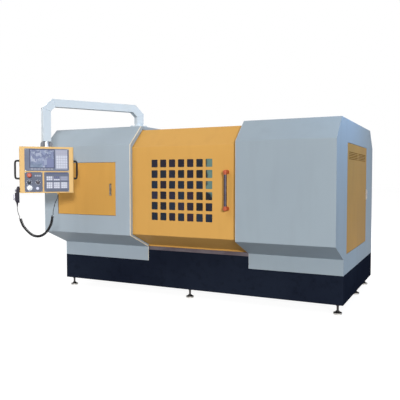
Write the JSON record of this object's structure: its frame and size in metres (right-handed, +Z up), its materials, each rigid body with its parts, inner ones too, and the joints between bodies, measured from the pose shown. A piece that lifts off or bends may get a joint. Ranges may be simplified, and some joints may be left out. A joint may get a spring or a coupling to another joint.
{
  "type": "metal spinning lathe",
  "caption": "Enclosed metal spinning lathe on a dark base: grey housings, a sliding windowed door and an operator pendant on a swinging arm, with spindle, roller carriage and tailstock inside.",
  "frame": {"origin": "centre of the bounding box on the floor, under the levelling feet", "axes": "+X along the spindle from headstock to tailstock, +Y from the operator's side to the back, +Z up"},
  "size_m": [3.012, 2.6586, 1.9],
  "materials": {
    "base_paint": "satin enamel",
    "grey_paint": "powder coat",
    "yellow_paint": "powder coat",
    "casting_paint": "machine enamel over cast iron",
    "motor_paint": "enamel",
    "steel": "ground steel",
    "dark_steel": "black oxide steel",
    "sill_steel": "brushed steel",
    "belt_rubber": "rubber",
    "window_glass": "tinted polycarbonate",
    "arm_paint": "powder coat",
    "coupling_paint": "powder coat",
    "cabinet_paint": "textured powder coat",
    "black_plastic": "moulded plastic",
    "slate_plastic": "moulded plastic",
    "red_plastic": "moulded plastic",
    "red_fitting": "moulded plastic",
    "white_plastic": "moulded plastic"
  },
  "bodies": {
    "machine": {"base_frame": "base_paint", "levelling_feet": "dark_steel", "bed_casting": "casting_paint", "headstock": "casting_paint", "spindle_bearings": "steel", "drive_belt": "belt_rubber", "main_motor": "motor_paint", "saddle_motor": "black_plastic", "tailstock": "casting_paint", "tailstock_cylinder": "dark_steel", "control_cabinet": "cabinet_paint", "left_front_skin": "grey_paint", "right_front_skin": "grey_paint", "left_end_panel": "grey_paint", "right_end_panel": "grey_paint", "left_partition": "grey_paint", "roof_panel": "grey_paint", "back_panels": "grey_paint", "door_sill": "sill_steel", "door_rail": "steel", "access_hinges": "dark_steel", "arm_post": "arm_paint"},
    "spindle": {"spindle": "steel", "faceplate": "steel", "spindle_pulley": "dark_steel"},
    "motor_rotor": {"motor_pulley": "dark_steel"},
    "saddle": {"saddle": "casting_paint", "cross_motor": "black_plastic"},
    "saddle_screw": {"saddle_screw": "steel"},
    "cross_slide": {"cross_slide": "casting_paint", "roller_fork": "dark_steel"},
    "cross_screw": {"cross_screw": "steel"},
    "roller": {"forming_roller": "steel"},
    "quill": {"quill": "steel"},
    "pad": {"pressure_pad": "steel"},
    "front_door": {"front_door": "yellow_paint", "door_pane": "window_glass", "door_handle": "dark_steel", "handle_mounts": "red_fitting"},
    "left_door": {"left_access_door": "yellow_paint"},
    "left_latch": {"left_latch": "steel"},
    "end_door": {"end_access_door": "yellow_paint"},
    "end_latch": {"end_latch": "steel"},
    "arm": {"pendant_arm": "arm_paint"},
    "pendant": {"pendant_swivel": "coupling_paint", "pendant_box": "yellow_paint", "pendant_handles": "black_plastic", "screen_unit": "slate_plastic", "operator_panel": "slate_plastic", "handwheel_box": "black_plastic", "cord_tails": "black_plastic", "cord_coil": "black_plastic"},
    "stop_button": {"stop_button": "red_plastic"},
    "mode_knob": {"mode_knob": "black_plastic"},
    "feed_knob": {"feed_knob": "black_plastic"},
    "override_dial": {"override_dial": "white_plastic"},
    "key_switch": {"key_switch": "white_plastic"},
    "handwheel": {"handwheel_dial": "white_plastic"},
    "axis_knob": {"handwheel_axis_knob": "black_plastic"},
    "step_knob": {"handwheel_step_knob": "black_plastic"}
  },
  "joints": [
    {"name": "spindle_spin", "type": "hinge", "parent": "machine", "child": "spindle", "pos_m": [-0.45, 0.20931, 1.08], "axis": [1, 0, 0], "continuous": true},
    {"name": "motor_spin", "type": "hinge", "parent": "machine", "child": "motor_rotor", "pos_m": [-1.25, 0.80931, 0.575], "axis": [1, 0, 0], "continuous": true},
    {"name": "saddle_slide", "type": "slide", "parent": "machine", "child": "saddle", "axis": [1, 0, 0], "range_m": [-0.1, 0.43]},
    {"name": "saddle_screw_turn", "type": "hinge", "parent": "machine", "child": "saddle_screw", "pos_m": [0.085, 0.84931, 0.535], "axis": [1, 0, 0], "continuous": true},
    {"name": "cross_slide_feed", "type": "slide", "parent": "saddle", "child": "cross_slide", "axis": [0, -1, 0], "range_m": [0, 0.19]},
    {"name": "cross_screw_turn", "type": "hinge", "parent": "saddle", "child": "cross_screw", "pos_m": [-0.09, 0.84931, 0.6923], "axis": [0, 1, 0], "continuous": true},
    {"name": "roller_spin", "type": "hinge", "parent": "cross_slide", "child": "roller", "pos_m": [-0.14, 0.61431, 1.08], "axis": [0.9397, 0.342, 0], "continuous": true},
    {"name": "quill_slide", "type": "slide", "parent": "machine", "child": "quill", "axis": [-1, 0, 0], "range_m": [0, 0.3]},
    {"name": "pad_spin", "type": "hinge", "parent": "quill", "child": "pad", "pos_m": [0.38, 0.20931, 1.08], "axis": [1, 0, 0], "continuous": true},
    {"name": "door_slide", "type": "slide", "parent": "machine", "child": "front_door", "axis": [-1, 0, 0], "range_m": [0, 0.9]},
    {"name": "left_access_door_hinge", "type": "hinge", "parent": "machine", "child": "left_door", "pos_m": [-1.312, -0.59269, 0.817], "axis": [0, 0, -1], "range_deg": [0, 24]},
    {"name": "left_latch_turn", "type": "hinge", "parent": "left_door", "child": "left_latch", "pos_m": [-0.666, -0.60069, 1.069], "axis": [0, -1, 0], "range_deg": [0, 90]},
    {"name": "end_access_door_hinge", "type": "hinge", "parent": "machine", "child": "end_door", "pos_m": [1.492, -0.13269, 0.52], "axis": [0, 0, -1], "range_deg": [0, 100]},
    {"name": "end_latch_turn", "type": "hinge", "parent": "end_door", "child": "end_latch", "pos_m": [1.5, 0.89231, 1.008], "axis": [1, 0, 0], "range_deg": [0, 90]},
    {"name": "arm_swing", "type": "hinge", "parent": "machine", "child": "arm", "pos_m": [-0.51, -0.33069, 1.72], "axis": [0, 0, 1], "range_deg": [-10, 70]},
    {"name": "pendant_turn", "type": "hinge", "parent": "arm", "child": "pendant", "pos_m": [-1.01107, -1.10227, 1.513], "axis": [0, 0, 1], "range_deg": [-90, 90]},
    {"name": "stop_button_press", "type": "slide", "parent": "pendant", "child": "stop_button", "axis": [-0.7193, 0.6947, 0], "range_m": [0, 0.005], "stiffness_N_per_m": 400, "springref_m": -0.01},
    {"name": "mode_knob_turn", "type": "hinge", "parent": "pendant", "child": "mode_knob", "pos_m": [-1.08277, -1.2485, 1.143], "axis": [0.7193, -0.6947, 0], "range_deg": [-90, 90]},
    {"name": "feed_knob_turn", "type": "hinge", "parent": "pendant", "child": "feed_knob", "pos_m": [-1.03137, -1.19527, 1.143], "axis": [0.7193, -0.6947, 0], "range_deg": [-135, 135]},
    {"name": "override_dial_turn", "type": "hinge", "parent": "pendant", "child": "override_dial", "pos_m": [-1.07999, -1.24562, 1.093], "axis": [0.7193, -0.6947, 0], "range_deg": [-150, 150]},
    {"name": "key_switch_turn", "type": "hinge", "parent": "pendant", "child": "key_switch", "pos_m": [-1.03276, -1.1967, 1.088], "axis": [0.7193, -0.6947, 0], "range_deg": [-90, 0]},
    {"name": "handwheel_turn", "type": "hinge", "parent": "pendant", "child": "handwheel", "pos_m": [-1.20349, -1.30152, 1.01], "axis": [-0.6947, -0.7193, 0], "continuous": true},
    {"name": "axis_knob_turn", "type": "hinge", "parent": "pendant", "child": "axis_knob", "pos_m": [-1.18148, -1.30609, 1.069], "axis": [-0.6947, -0.7193, 0], "range_deg": [-75, 75]},
    {"name": "step_knob_turn", "type": "hinge", "parent": "pendant", "child": "step_knob", "pos_m": [-1.20882, -1.27969, 1.069], "axis": [-0.6947, -0.7193, 0], "range_deg": [-45, 45]}
  ],
  "couplings": [
    {"joint": "motor_spin", "follows": "spindle_spin", "ratio": 1.875},
    {"joint": "saddle_screw_turn", "follows": "saddle_slide", "rad_per_m": -314.16},
    {"joint": "cross_screw_turn", "follows": "cross_slide_feed", "rad_per_m": 628.32}
  ]
}
